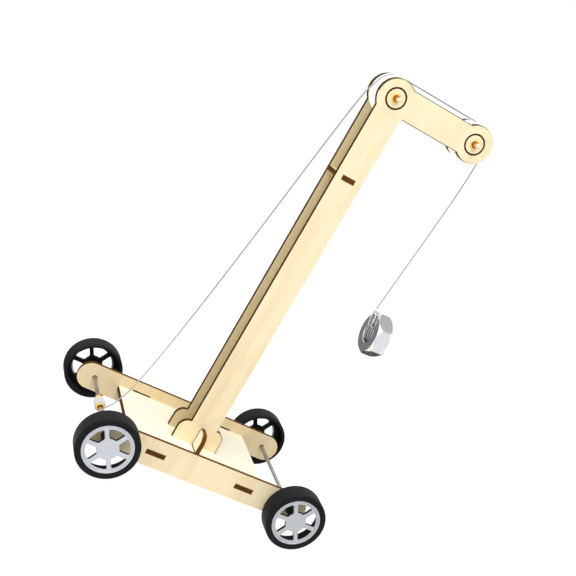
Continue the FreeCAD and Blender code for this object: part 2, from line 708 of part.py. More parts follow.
def string_knot():
    knot = doc.addObject("Part::Ellipsoid", "string_knot")
    knot.Label = "string_knot"
    knot.setExpression("Radius1", "Sizes.knot_half_height")
    knot.setExpression("Radius2", "Sizes.knot_radius")
    knot.setExpression("Radius3", "Sizes.knot_radius")
    knot.setExpression("Placement.Base.x", "Sizes.nut_place - Sizes.knot_back")
    knot.setExpression("Placement.Base.y", "Sizes.knot_across")
    knot.setExpression("Placement.Base.z", "Sizes.nut_height + Sizes.knot_rise")
    return knot


nodes = []
for name, side in SIDES.items():
    nodes.append(side_plate(name, side))
    nodes.append(mast_plate(name, side))
    nodes.append(gusset(name, side))
nodes.append(deck_plate())
nodes.append(cross_brace())

for name, place in PULLEYS.items():
    nodes.append(pulley(f"{name}_pulley", place))
    nodes.append(rod(f"{name}_pulley_pin", place, "Sizes.pulley_height", "Sizes.pin_length"))
    for side_name, side in SIDES.items():
        nodes.append(sleeve(f"{side_name}_{name}_bush", place, "Sizes.pulley_height",
                            span(side, BUSH_INNER, f"{MAST_OUTER} + Sizes.bush_proud"),
                            "Sizes.bush_diameter / 2", "Sizes.bush_mouth_radius",
                            "Sizes.bush_mouth_depth", "low" if side < 0 else "high"))

for axle_name, axle_x in (("rear", REAR_X), ("front", FRONT_X)):
    nodes.append(rod(f"{axle_name}_axle", axle_x, AXLE_Z,
                     "2 * (Sizes.track_outer - Sizes.axle_end_cover)"))
    for side_name, side in SIDES.items():
        nodes.append(wheel(f"{side_name}_{axle_name}_wheel", axle_x, side))
        nodes.append(hubcap(f"{side_name}_{axle_name}_hubcap", axle_x, side))

nodes.append(sleeve("spool_tube", REAR_X, AXLE_Z,
                    ("Sizes.spool_near_end", "Sizes.spool_near_end + Sizes.spool_length"),
                    "Sizes.spool_diameter / 2", "Sizes.spool_mouth_radius",
                    "Sizes.spool_mouth_depth", "low high"))
nodes.append(string_piece("string_winding", *winding_route()))
nodes.append(drive_string())
nodes.append(hanging_string())
nodes.append(weight_nut())
for name, corners in LOOP_ROUTES.items():
    nodes.append(weight_loop(name, corners))
nodes.append(string_knot())

doc.recompute()
for item in doc.Objects:
    if "Invalid" in item.State or "Error" in item.State:
        raise RuntimeError(f"{item.Label} is {item.State}")
os.makedirs("parts", exist_ok=True)
for node in nodes:
    shape = node.Shape
    if shape.isNull() or not shape.isValid() or len(shape.Solids) != 1:
        raise RuntimeError(f"{node.Label} is not one valid solid")
    shape.exportStep(f"parts/{node.Label}.step")
print(len(nodes), "nodes written")
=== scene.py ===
import math

import bmesh
import bpy
import numpy as np
from bpy.props import FloatProperty, FloatVectorProperty, IntProperty, PointerProperty
from mathutils import Matrix


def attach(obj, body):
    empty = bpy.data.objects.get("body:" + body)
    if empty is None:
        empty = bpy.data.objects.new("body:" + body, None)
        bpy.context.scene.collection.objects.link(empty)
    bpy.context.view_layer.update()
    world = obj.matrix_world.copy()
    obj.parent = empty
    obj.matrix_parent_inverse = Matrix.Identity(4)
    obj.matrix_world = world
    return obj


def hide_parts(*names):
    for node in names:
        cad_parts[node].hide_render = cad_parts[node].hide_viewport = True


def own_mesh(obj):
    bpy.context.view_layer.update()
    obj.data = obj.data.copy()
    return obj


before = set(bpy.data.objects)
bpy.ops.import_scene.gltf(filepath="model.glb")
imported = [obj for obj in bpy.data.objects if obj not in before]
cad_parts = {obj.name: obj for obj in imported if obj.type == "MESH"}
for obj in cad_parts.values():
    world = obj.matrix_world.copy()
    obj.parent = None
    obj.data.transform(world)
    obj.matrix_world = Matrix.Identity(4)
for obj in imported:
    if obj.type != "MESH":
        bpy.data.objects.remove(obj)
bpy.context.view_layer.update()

bl_info = {
    "name": "Weight-driven model car",
    "version": (1, 0, 0),
    "blender": (4, 5, 0),
    "location": "View3D > Sidebar > Model car",
    "description": "Dresses the packed model car in plywood, moulded plastic, steel and string",
    "category": "Object",
}

# The frame is in metres; shapes are worked out in millimetres
MM = 0.001
FULL = 2.0 * math.pi

# Places and sizes taken from the part's source, in millimetres
REAR_X, FRONT_X, AXLE_Z = -63.65, 63.65, 19.0
TRACK_OUTER = 59.7
PLY = 3.0
SIDE_MIDDLE = 39.3
DECK_MIDDLE = 19.0
BRACE_MIDDLE = 212.3
GUSSET_MIDDLE = 0.4
BOSS = 2.7
WHEEL = 19.0
WHEEL_WIDTH = 13.0
CAP_SEAT = 15.3
ROD_BORE = 1.26
WINDOW_INNER, SPOKE = 6.5, 2.6
MOUTH = {"spool": 1.95, "bush": 2.3}
PULLEY_X = {"corner": 0.15, "end": 59.45}
PULLEY_Z = 267.4
PULLEY_HALF = 3.5
PULLEY_BORE = 1.32
MAST_MIDDLE = 7.95
MAST_OUTER = 9.45
ARM_HALF = 9.3
LOBE = 12.05
FOOT_CORNER = (9.5, 28.5)
FOOT_ROUNDING = 6.3
DECK_TOP = 20.5
TAB_X = 30.5
TAB_HALF = 6.4
SIDES = {"near": -1, "far": 1}
AXLE_X = {"rear": REAR_X, "front": FRONT_X}
NUT_MIDDLE = np.array([74.05, 0.0, 132.7])
NUT_LEAN = math.radians(3.7)
NUT_HALF = 5.15
NUT_FLAT = 12.6
NUT_CIRCLE = 12.5
NUT_SLOPE = math.radians(52.0)
FAR_CIRCLE = 13.2
NUT_BORE = 6.3
NUT_MOUTH = 0.6
KNOT_MIDDLE = np.array([67.09, 3.8, 145.85])
KNOT_REACH = 0.85

# Burnt lines: the thin rim's depth inside an outline and its width, the ring round a pin and
# its width, and how far the dark joint of a gusset spreads
RIM_DEPTH, RIM_WIDTH = 0.25, 0.6
RING_RADIUS, RING_WIDTH = 6.25, 1.16
JOINT_WIDTH = 0.9


def linear(hex_colour):
    """Linear light from sRGB hex: c / 12.92 up to 0.04045, else ((c + 0.055) / 1.055) to 2.4."""
    channels = np.array([int(hex_colour[i:i + 2], 16) for i in (0, 2, 4)]) / 255.0
    curved = ((channels + 0.055) / 1.055) ** 2.4
    return tuple(float(v) for v in np.where(channels <= 0.04045, channels / 12.92, curved))


def colour_property(name, description, hex_colour):
    return FloatVectorProperty(name=name, description=description, subtype="COLOR", size=3,
                               min=0.0, max=1.0, default=linear(hex_colour))


def length_property(name, description, millimetres):
    return FloatProperty(name=name, description=description, default=millimetres * MM,
                         subtype="DISTANCE", unit="LENGTH", precision=5)


class CarColours(bpy.types.PropertyGroup):
    """Colours of the car's finishes."""

    veneer: colour_property("Veneer", "Birch veneer on the plywood's faces", "F9E9C6")
    grain: colour_property("Grain", "Tint of the veneer's darker grain", "F3E8D3")
    deck: colour_property("Deck", "Paler veneer of the deck", "FAF4E0")
    # The two inner veneers are darker: painted shade on the faces that look into the car
    side_inner_shade: colour_property("Side inside", "Inner veneer of the side plates", "ECDAB4")
    mast_inner_shade: colour_property("Mast inside", "Inner veneer of the mast plates", "DDCDA5")
    char: colour_property("Char", "Cut edge where the beam lingered", "281700")
    scorch: colour_property("Scorch", "Cut edge browned by the beam", "744B1B")
    ring_line: colour_property("Engraving", "Line burnt round each pin", "442A0C")
    tyre: colour_property("Wheel", "Soft black of the wheels", "101113")
    cap: colour_property("Hubcap", "Satin silver of the hubcaps", "CDD0D6")
    pulley: colour_property("Pulley", "White of the pulleys", "F4F4F2")
    amber: colour_property("Amber", "Clear amber tubing", "D08C22")
    amber_lip: colour_property("Amber lip", "Cut end of the tubing", "DCBF70")
    rod: colour_property("Rod", "Drawn steel of the axles", "B9B8B6")
    # The pins are painted near white: partly polished steel, partly a painted highlight on their
    # ends
    pin: colour_property("Pin", "Polished steel of the pulley pins", "FBF7EC")
    zinc: colour_property("Zinc", "Zinc-plated nut", "DEDFE3")
    # The drive, hanging and bunched colours are one string in three tones: painted light and shade
    thread: colour_property("Drive string", "String pulled tight over the pulleys", "9C9DA1")
    hanging: colour_property("Hanging string", "String that the nut hangs on", "B6B7BB")
    lit_string: colour_property("Bunched string", "String where it is wound or tied", "D6D8D8")


class CarSizes(bpy.types.PropertyGroup):
    """Sizes that only the dressed pieces have."""

    window_corner: length_property("Window corner", "Rounding of the windows' corners", 0.9)
    moulded_edge: length_property("Moulded edge", "Rounding of moulded edges", 0.25)
    thread_pitch: length_property("Thread pitch", "Pitch of the nut's thread", 1.5)
    thread_depth: length_property("Thread depth", "Depth of the nut's thread", 0.12)
    string_width: length_property("String", "Diameter of the string", 0.8)
    wound_pitch: length_property("Winding", "From one turn on the spool to the next", 0.82)
    wound_turns: FloatProperty(name="Turns", description="Turns of string on the spool",
                               default=8.0, min=1.0, max=12.0)
    round_steps: IntProperty(name="Round steps", description="Steps round a wheel, six at a time",
                             default=16, min=6, max=32)


def colours():
    return bpy.context.scene.car_colours


def sizes():
    return bpy.context.scene.car_sizes


# Node trees


def feed(tree, node, inputs):
    """Sets a node's sockets, by name or number, to values, or links them to given sockets."""
    for key, given in inputs.items():
        if isinstance(given, bpy.types.NodeSocket):
            tree.links.new(given, node.inputs[key])
        else:
            node.inputs[key].default_value = given


def add(tree, kind, inputs=None, **settings):
    """Adds a shader node with its settings and its sockets' values or links."""
    node = tree.nodes.new("ShaderNode" + kind)
    for key, setting in settings.items():
        setattr(node, key, setting)
    feed(tree, node, inputs or {})
    return node


def new_material(name):
    """A material with its tree and its shader."""
    material = bpy.data.materials.new(name)
    material.use_nodes = True
    tree = material.node_tree
    return material, tree, tree.nodes["Principled BSDF"]


def rgba(colour, share=1.0):
    """A colour times a share, with full alpha."""
    return (*(v * share for v in colour), 1.0)


def object_mm(tree, centre=(0.0, 0.0, 0.0), scale=(1.0, 1.0, 1.0), turn=(0.0, 0.0, 0.0)):
    """Object coordinates in millimetres from a centre, then turned and scaled."""
    place = add(tree, "TexCoord").outputs["Object"]
    centred = add(tree, "VectorMath", {0: place, 1: [c * MM for c in centre]},
                  operation="SUBTRACT").outputs[0]
    return add(tree, "Mapping",
               {"Vector": centred, "Scale": [s / MM for s in scale], "Rotation": turn}).outputs[0]


def along_grain(tree, axis, across, along, centre=(0.0, 0.0, 0.0)):
    """Coordinates whose unit is one length across the grain and another along it."""
    scale = [1 / across] * 3
    scale[axis] = 1 / along
    return object_mm(tree, centre, scale)


def parts_of(tree, vector):
    return add(tree, "SeparateXYZ", {0: vector}).outputs


def number_of(tree, operation, first, second=0.0, third=0.0, clamp=False):
    """Result of one Math node."""
    return add(tree, "Math", {0: first, 1: second, 2: third},
               operation=operation, use_clamp=clamp).outputs[0]


def minus(tree, first, second):
    return number_of(tree, "SUBTRACT", first, second)


def times(tree, first, second):
    return number_of(tree, "MULTIPLY", first, second)


def larger(tree, first, second):
    return number_of(tree, "MAXIMUM", first, second)


def below(tree, first, second):
    """1 where the first number is less than the second."""
    return number_of(tree, "LESS_THAN", first, second)


def size_of(tree, first, second=0.0):
    """How far a number is from another, without its sign."""
    return number_of(tree, "ABSOLUTE", minus(tree, first, second) if second else first)


def hypotenuse(tree, first, second):
    """The root of the sum of two squares."""
    squares = number_of(tree, "MULTIPLY_ADD", first, first, times(tree, second, second))
    return number_of(tree, "SQRT", squares)


def mixed(tree, factor, first, second, blend="MIX"):
    """Two colours mixed by a factor."""
    return add(tree, "Mix", {0: factor, 6: first, 7: second},
               data_type="RGBA", blend_type=blend).outputs[2]


def noise(tree, vector, scale, detail=3.0, roughness=0.5):
    return add(tree, "TexNoise",
               {"Vector": vector, "Scale": scale, "Detail": detail,
                "Roughness": roughness}).outputs["Fac"]


def ramp(tree, factor, low, high):
    """0 below low, 1 above high, straight between."""
    return add(tree, "MapRange",
               {"Value": factor, "From Min": low, "From Max": high}).outputs["Result"]


def bump(tree, shader, height, distance_mm, strength=0.4):
    node = add(tree, "Bump",
               {"Height": height, "Distance": distance_mm * MM, "Strength": strength})
    feed(tree, shader, {"Normal": node.outputs["Normal"]})


def radial(tree, vector, axis):
    """Distance of a point from an axis through the origin of its coordinates."""
    flat = add(tree, "VectorMath",
               {0: vector, 1: [0.0 if n == axis else 1.0 for n in range(3)]},
               operation="MULTIPLY").outputs[0]
    return add(tree, "VectorMath", {0: flat}, operation="LENGTH").outputs["Value"]


# Meshes


def quads(rows, columns, wrap_rows=False, wrap_columns=False):
    """Corner numbers of a grid's quads; a wrapped direction joins its last line to its first."""
    row = np.arange(rows if wrap_rows else rows - 1)[:, None]
    column = np.arange(columns if wrap_columns else columns - 1)[None, :]
    next_row = (row + 1) % rows
    next_column = (column + 1) % columns
    corners = (row * columns + column, row * columns + next_column,
               next_row * columns + next_column, next_row * columns + column)
    return np.stack([np.broadcast_to(c, (len(row), column.shape[1])) for c in corners],
                    axis=-1).reshape(-1, 4)


def mesh_piece(name, grids, material, body, stands_for, sharp_degrees=35.0):
    """One object from grids of points, in millimetres. A grid is wrapped along its columns, or
    given as (points, wrap rows, wrap columns)."""
    points, faces, first = [], [], 0
    for given in grids:
        grid, wrap_rows, wrap_columns = given if isinstance(given, tuple) else (given, False, True)
        rows, columns = grid.shape[:2]
        points.append(grid.reshape(-1, 3))
        faces.append(quads(rows, columns, wrap_rows, wrap_columns) + first)
        first += rows * columns
    mesh = bpy.data.meshes.new(name)
    mesh.from_pydata((np.concatenate(points) * MM).tolist(), [], np.concatenate(faces).tolist())
    built = bmesh.new()
    built.from_mesh(mesh)
    bmesh.ops.remove_doubles(built, verts=built.verts, dist=2e-7)
    bmesh.ops.recalc_face_normals(built, faces=built.faces)
    built.to_mesh(mesh)
    built.free()
    mesh.shade_smooth()
    mesh.set_sharp_from_angle(angle=math.radians(sharp_degrees))
    mesh.materials.append(material)
    piece = bpy.data.objects.new(name, mesh)
    bpy.context.scene.collection.objects.link(piece)
    settle(piece, body, stands_for)
    return piece


def settle(piece, body, stands_for):
    """Rides a piece on its body, and hides the solid that it stands for."""
    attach(piece, body)
    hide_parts(stands_for)


def unit(vectors):
    return vectors / np.linalg.norm(vectors, axis=-1, keepdims=True)


def rounded(corners, steps=4):
    """Profile through corners (r, d, rounding): each rounding is a parabola between two points
    that lie that far back along the corner's two sides."""
    corners = np.asarray(corners, float)
    t = np.linspace(0.0, 1.0, steps + 1)[:, None]
    profile = [corners[:1, :2]]
    for before, here, after in zip(corners[:-2], corners[1:-1], corners[2:]):
        corner, rounding = here[:2], here[2]
        if rounding <= 0.0:
            profile.append(corner[None])
            continue
        start = corner + unit(before[:2] - corner) * rounding
        finish = corner + unit(after[:2] - corner) * rounding
        profile.append((1 - t) ** 2 * start + 2 * t * (1 - t) * corner + t ** 2 * finish)
    profile.append(corners[-1:, :2])
    return np.concatenate(profile)


def turned(profile, steps):
    """A profile (r, d) carried round the axis: angle a gives (r cos a, d, r sin a)."""
    angle = np.linspace(0.0, FULL, steps, endpoint=False)
    radius = profile[:, :1]
    depth = np.broadcast_to(profile[:, 1:2], (len(profile), steps))
    return np.stack([radius * np.cos(angle), depth, radius * np.sin(angle)], axis=-1)


def stand(grid, place, facing=1):
    """A grid round the local y axis moved to a place; facing -1 turns depth the other way."""
    return grid * (1.0, facing, 1.0) + place


def wheel_places():
    """Axle, side's name, side, and the middle of the outer face of each wheel."""
    for axle, x in AXLE_X.items():
        for name, side in SIDES.items():
            yield axle, name, side, (x, side * TRACK_OUTER, AXLE_Z)


def solve_outline(start, direction, distances, sharpness, reach):
    """Distance along each ray at which the soft maximum of several signed distances is nought,
    found by halving: ln of the sum of exp(sharpness * distance) changes sign there."""
    low = np.zeros(len(direction))
    high = np.full(len(direction), reach)
    for _ in range(40):
        middle = (low + high) / 2
        sides = distances(start + middle[:, None] * direction)
        outside = np.log(np.exp(sharpness * sides).sum(axis=0)) > 0.0
        high = np.where(outside, middle, high)
        low = np.where(outside, low, middle)
    return (low + high) / 2

def spoked_sector(inner, outer, spoke, edge_inner, edges_outer, front, back, rounding, corner,
                  steps):
    """One of six sectors of a spoked disc with a window through it, as one closed strip.

    The strip's length runs round the sector's outline, and its width goes from the back face's
    outline in to the window, through it, and out to the front face's outline. The window is
    where the soft maximum of the distances to its four edges is nought. The outline's outer
    radius is given at the front and at the back."""
    half = math.pi / 6
    arc = np.linspace(-half, half, steps + 1)[:-1]
    side = np.linspace(0.0, 1.0, steps // 2 + 1)[:-1]

    def outline(low, high):
        radius = np.concatenate([np.full(len(arc), high), high + (low - high) * side,
                                 np.full(len(arc), low), low + (high - low) * side])
        angle = np.concatenate([arc, np.full(len(side), half), -arc, np.full(len(side), -half)])
        return np.stack([radius * np.cos(angle), radius * np.sin(angle)], axis=-1)

    def distances(points):
        radius = np.hypot(points[:, 0], points[:, 1])
        tilt_x, tilt_y = math.cos(half), math.sin(half)
        upper = points[:, 1] * tilt_x - points[:, 0] * tilt_y + spoke / 2
        lower = -points[:, 1] * tilt_x - points[:, 0] * tilt_y + spoke / 2
        return np.stack([radius - outer, inner - radius, upper, lower])

    middle = np.array([(inner + outer) / 2 + 0.5, 0.0])
    front_edge, back_edge = (outline(edge_inner, edge) for edge in edges_outer)
    direction = unit(front_edge - middle)
    hole = solve_outline(middle, direction, distances, 2.7 / corner, 12.0)
    lip = middle + (hole + rounding)[:, None] * direction
    bend = np.linspace(0.0, math.pi / 2, 4)
    rows = [(back_edge, back), ((back_edge + 2 * lip) / 3, back)]
    for face, way, angles in ((back, -1, bend), (front, 1, bend[::-1])):
        for a in angles:
            out = hole + rounding * (1 - math.sin(a))
            rows.append((middle + out[:, None] * direction,
                         face + way * rounding * (1 - math.cos(a))))
    rows += [((front_edge + 2 * lip) / 3, front), (front_edge, front)]
    flat = np.stack([line for line, _ in rows])
    depth = np.broadcast_to(np.array([d for _, d in rows])[:, None], flat.shape[:2])
    return np.stack([flat[..., 0], depth, flat[..., 1]], axis=-1)


def six_times(sector):
    """A sector's grid turned to its six places, its middle at 30 degrees and on."""
    grids = []
    for n in range(6):
        a = math.pi / 6 + n * math.pi / 3
        x = sector[..., 0] * math.cos(a) - sector[..., 2] * math.sin(a)
        z = sector[..., 0] * math.sin(a) + sector[..., 2] * math.cos(a)
        grids.append(np.stack([x, sector[..., 1], z], axis=-1))
    return grids


# Materials


def birch_plywood(name, thin_axis, middle, burn, grain_axis=2, veneer=None, inner=None,
                  marks=None, grain_share=0.5):
    """Laser-cut birch plywood: pale rotary-cut veneer with fine long grain, and cut edges
    burnt brown with the darker glue lines of three plies. The edge is where the point lies
    between the two faces. Burn is how far the cut is brown rather than charred; edges that face
    up are painted lighter, a painted highlight. The face toward the middle of the car can have a
    darker veneer, painted shade, and marks burnt lines (on the mast also a painted glow)."""
    material, tree, shader = new_material(name)
    c = colours()
    place = object_mm(tree)
    parts = parts_of(tree, place)
    offset = minus(tree, parts[thin_axis], middle)
    depth = size_of(tree, offset)
    cut = below(tree, depth, PLY / 2 - 0.02)
    face = rgba(veneer or c.veneer)
    if inner:
        # The darker inner veneer is painted shade on the faces that look into the car
        inward_shade = below(tree, times(tree, offset, math.copysign(1.0, middle)), 0.0)
        face = mixed(tree, inward_shade, face, rgba(inner))
    # Fibres are about 0.9 mm apart across the grain and 26 mm long, the figure 7 by 45 mm
    fibre = noise(tree, along_grain(tree, grain_axis, 0.9, 26.0), 1.0, 4.0, 0.6)
    figure = noise(tree, along_grain(tree, grain_axis, 7.0, 45.0, (7.0, 3.0, 11.0)), 1.0, 2.0)
    for pattern, low, high in ((fibre, 0.46, 0.8), (figure, 0.42, 0.75)):
        share = times(tree, ramp(tree, pattern, low, high), grain_share)
        face = mixed(tree, share, face, rgba(c.grain), "MULTIPLY")
    # The beam leaves a darker line at each glue joint, half a millimetre off the middle
    glue_line = ramp(tree, size_of(tree, depth, 0.5), 0.3, 0.05)
    patches = number_of(tree, "MULTIPLY_ADD", noise(tree, place, 0.4, 3.0), 0.8, burn - 0.4)
    # Edges that face up are painted a lighter brown: a painted highlight of the light from above
    facing = parts_of(tree, add(tree, "NewGeometry").outputs["Normal"])[2]
    painted_top_light = times(tree, ramp(tree, facing, 0.2, 0.9), 1.3 * burn)
    browned = number_of(tree, "MAXIMUM", patches, painted_top_light, clamp=True)
    burnt = mixed(tree, browned, rgba(c.char), rgba(c.scorch))
    edge = mixed(tree, times(tree, glue_line, 0.5), burnt, rgba(c.char))
    tone = mixed(tree, cut, face, edge)
    if marks:
        tone = marks(tree, parts, tone)
    feed(tree, shader, {"Base Color": tone, "Roughness": 0.7, "IOR": 1.45,
                        "Specular IOR Level": 0.06})
    bump(tree, shader, fibre, 0.05)
    return material


def line_at(tree, distance, where, width):
    """1 where a distance lies within half a width of a value."""
    return below(tree, size_of(tree, distance, where), width / 2)


def mast_marks(tree, parts, tone):
    """Burnt lines of a mast plate: a ring 5.7 to 6.8 mm from each pin, a painted tan glow of
    light through the amber inside it, and a thin dark rim round the arm, its lobes and the foot's
    front corner."""
    c = colours()
    along, _, up = parts
    above_pins = minus(tree, up, PULLEY_Z)
    pins = [hypotenuse(tree, minus(tree, along, x), above_pins) for x in PULLEY_X.values()]
    nearest = number_of(tree, "MINIMUM", *pins)
    # Painted glow: a tan pool of light from the amber, painted on the plate round each pin
    glow = times(tree, ramp(tree, nearest, 5.0, 2.6), 0.4)
    tone = mixed(tree, glow, tone, rgba(c.amber_lip))
    # The arm is where each of these distances is below nought, and so for the column
    arm = larger(tree, minus(tree, size_of(tree, above_pins), ARM_HALF),
                 minus(tree, along, PULLEY_X["end"]))
    arm = larger(tree, arm, times(tree, along, -1.0))
    lobes = minus(tree, nearest, LOBE)
    # The column runs on past its front edge here, so that this edge has no brown rim
    column = larger(tree, minus(tree, along, 10.4), above_pins)
    outline = number_of(tree, "MINIMUM", column, number_of(tree, "MINIMUM", arm, lobes))
    rim = times(tree, line_at(tree, outline, -RIM_DEPTH, RIM_WIDTH), ramp(tree, along, 66.0, 58.0))
    rim = times(tree, rim, number_of(tree, "GREATER_THAN", up, 200.0))
    corner = hypotenuse(tree, larger(tree, minus(tree, along, FOOT_CORNER[0]), 0.0),
                        larger(tree, minus(tree, up, FOOT_CORNER[1]), 0.0))
    foot = times(tree, line_at(tree, corner, FOOT_ROUNDING - RIM_DEPTH, RIM_WIDTH),
                 ramp(tree, along, 9.0, 9.4))
    browned = times(tree, larger(tree, rim, foot), 0.75)
    tone = mixed(tree, browned, tone, rgba(c.char))
    ring = line_at(tree, nearest, RING_RADIUS, RING_WIDTH)
    return mixed(tree, ring, tone, rgba(c.ring_line))


def gusset_marks(tree, parts, tone):
    """The dark joint of a gusset with the mast plate and with the deck, 0.9 mm wide."""
    beside = below(tree, size_of(tree, parts[1]), MAST_OUTER + JOINT_WIDTH)
    under = below(tree, parts[2], DECK_TOP + JOINT_WIDTH)
    return mixed(tree, larger(tree, beside, under), tone, rgba(colours().char))


def side_marks(tree, parts, tone):
    """The burnt slit that shows above each tab of the deck, in the side plate's inner face."""
    wide = below(tree, size_of(tree, size_of(tree, parts[0]), TAB_X), TAB_HALF)
    inside = below(tree, size_of(tree, parts[1]), SIDE_MIDDLE - 1.3)
    slit = times(tree, line_at(tree, parts[2], DECK_TOP + 0.5, 1.0), times(tree, wide, inside))
    return mixed(tree, slit, tone, rgba(colours().char))


def moulded_black(name, centre):
    """Soft black moulded plastic of the wheels: a dull sheen, with faint flow lines that run
    round the tread, 0.7 mm apart."""
    material, tree, shader = new_material(name)
    lines = noise(tree, object_mm(tree, centre, scale=(0.05, 1.4, 0.05)), 1.0, 3.0)
    grit = noise(tree, object_mm(tree, centre), 1.6, 3.0)
    base = colours().tyre
    feed(tree, shader, {
        "Base Color": mixed(tree, ramp(tree, lines, 0.35, 0.75), rgba(base), rgba(base, 1.8)),
        "Roughness": number_of(tree, "MULTIPLY_ADD", grit, 0.2, 0.48),
        "Specular IOR Level": 0.12})
    bump(tree, shader, number_of(tree, "ADD", lines, times(tree, grit, 0.4)), 0.1, 0.6)
    return material


def satin_silver(name, centre, tone):
    """Silver-painted moulded plastic of the hubcaps: fine flake in a satin coat; the tone makes
    one pair darker than the other."""
    material, tree, shader = new_material(name)
    flake = noise(tree, object_mm(tree, centre), 4.0, 2.0)
    base = [v * tone for v in colours().cap]
    feed(tree, shader, {
        "Base Color": mixed(tree, ramp(tree, flake, 0.35, 0.7), rgba(base, 0.86), rgba(base)),
        "Metallic": 0.35, "Roughness": 0.38})
    bump(tree, shader, flake, 0.02)
    return material


def moulded_white(name):
    """White moulded nylon of the pulleys: a smooth, slightly waxy surface. A painted glow, as of
    light soaking through the nylon, keeps its own shadows pale."""
    material, tree, shader = new_material(name)
    cloud = noise(tree, object_mm(tree), 0.25, 2.0)
    base = colours().pulley
    # The emission is a painted glow: the pulleys shine by themselves, lifting their shade
    feed(tree, shader, {
        "Base Color": mixed(tree, cloud, rgba(base, 0.93), rgba(base)), "Roughness": 0.35,
        "IOR": 1.53, "Emission Color": rgba(base), "Emission Strength": 0.4})
    bump(tree, shader, cloud, 0.03)
    return material


def drawn_steel(name, centre, base):
    """Drawn steel rod: bright, with fine draw lines along its length (Y), a few hundredths of
    a millimetre across, drawn 0.3 mm apart so that they show."""
    material, tree, shader = new_material(name)
    lines = noise(tree, object_mm(tree, centre, scale=(3.3, 0.06, 3.3)), 1.0, 3.0)
    feed(tree, shader, {
        "Base Color": mixed(tree, ramp(tree, lines, 0.35, 0.7), rgba(base, 0.72), rgba(base)),
        "Metallic": 1.0, "Roughness": number_of(tree, "MULTIPLY_ADD", lines, 0.2, 0.18)})
    bump(tree, shader, lines, 0.02)
    return material


def amber_tubing(name, centre, mouth_radius):
    """Clear amber plastic tubing: its wall has a painted amber glow, its cut end is pale and its
    bore is painted a deeper brown toward the rod, painted shade in the hollow."""
    material, tree, shader = new_material(name)
    c = colours()
    place = object_mm(tree, centre)
    out = radial(tree, place, 1)
    # Painted shade: the bore darkens toward the rod as the hollow shades it
    shaded_bore_amber = [v * w for v, w in zip(c.amber, (0.62, 0.42, 0.3))]
    bore = mixed(tree, ramp(tree, out, 1.3, mouth_radius), rgba(shaded_bore_amber), rgba(c.amber))
    lip = mixed(tree, ramp(tree, out, mouth_radius - 0.1, mouth_radius + 0.3), bore,
                rgba(c.amber_lip))
    cloud = noise(tree, place, 0.7, 2.0)
    # The emission is a painted glow of light through the amber
    feed(tree, shader, {
        "Base Color": mixed(tree, times(tree, cloud, 0.25), lip, rgba(c.amber)),
        "Emission Color": lip, "Emission Strength": 0.3, "Roughness": 0.25, "IOR": 1.5,
        "Coat Weight": 0.2})
    bump(tree, shader, cloud, 0.04)
    return material


def zinc_plate(name):
    """Zinc-plated steel of the nut: turned rings 0.45 mm apart on its two faces, milled lines
    across the flats, chamfers painted near white as a painted highlight, and the bore painted
    darker as painted shade."""
    material, tree, shader = new_material(name)
    turn = (0.0, math.pi / 2 + NUT_LEAN, 0.0)
    place = object_mm(tree, NUT_MIDDLE, turn=turn)
    out = radial(tree, place, 2)
    rings = add(tree, "TexNoise",
                {"W": out, "Scale": 2.2, "Detail": 2.0}, noise_dimensions="1D").outputs["Fac"]
    height = size_of(tree, parts_of(tree, place)[2])
    on_face = ramp(tree, height, NUT_HALF - 0.04, NUT_HALF - 0.01)
    # The chamfer's cone: its height is half the nut less its slope times the radius past the face
    cone = number_of(tree, "MULTIPLY_ADD", minus(tree, out, NUT_CIRCLE), math.tan(NUT_SLOPE),
                     height)
    on_chamfer = times(tree, ramp(tree, cone, NUT_HALF - 0.08, NUT_HALF - 0.04),
                       ramp(tree, out, NUT_CIRCLE, NUT_CIRCLE + 0.05))
    grit = noise(tree, object_mm(tree, NUT_MIDDLE, scale=(1.0, 1.0, 4.0), turn=turn), 0.8, 4.0)
    texture = mixed(tree, on_face, grit, rings)
    # Painted shade: the bore is darkened as the hole shades it
    bore_shade = ramp(tree, out, NUT_BORE + NUT_MOUTH + 0.1, NUT_BORE + 0.2)
    base = colours().zinc
    plain = mixed(tree, ramp(tree, texture, 0.3, 0.7), rgba(base, 0.8), rgba(base, 1.02))
    turned_face = mixed(tree, ramp(tree, rings, 0.3, 0.7), rgba(base, 0.98), rgba(base, 1.24))
    faces = mixed(tree, on_face, plain, turned_face)
    # Painted highlight: the chamfers are painted near white
    bright = mixed(tree, on_chamfer, faces, (0.93, 0.93, 0.94, 1.0))
    feed(tree, shader, {
        "Base Color": mixed(tree, times(tree, bore_shade, 0.6), bright, rgba(base, 0.35)),
        "Metallic": 1.0, "Roughness": number_of(tree, "MULTIPLY_ADD", texture, 0.15, 0.14)})
    bump(tree, shader, texture, 0.05)
    return material


def braided_string(name, base, lit_low_tone=None):
    """Braided polyester string: matt fibres; the real braid is too fine to show, so it is
    drawn as light and dark flecks 0.4 mm long. Near the spool it can be painted paler: painted
    light."""
    material, tree, shader = new_material(name)
    place = object_mm(tree)
    flecks = noise(tree, place, 2.5, 3.0, 0.7)
    tone = mixed(tree, ramp(tree, flecks, 0.35, 0.65), rgba(base, 0.8), rgba(base))
    # Painted light: low down, near the spool, the string is painted paler
    if lit_low_tone:
        low_down = ramp(tree, parts_of(tree, place)[2], 100.0, 50.0)
        tone = mixed(tree, low_down, tone, rgba(lit_low_tone))
    feed(tree, shader, {"Base Color": tone, "Roughness": 0.8, "Sheen Weight": 0.2})
    bump(tree, shader, flecks, 0.1, 0.6)
    return material


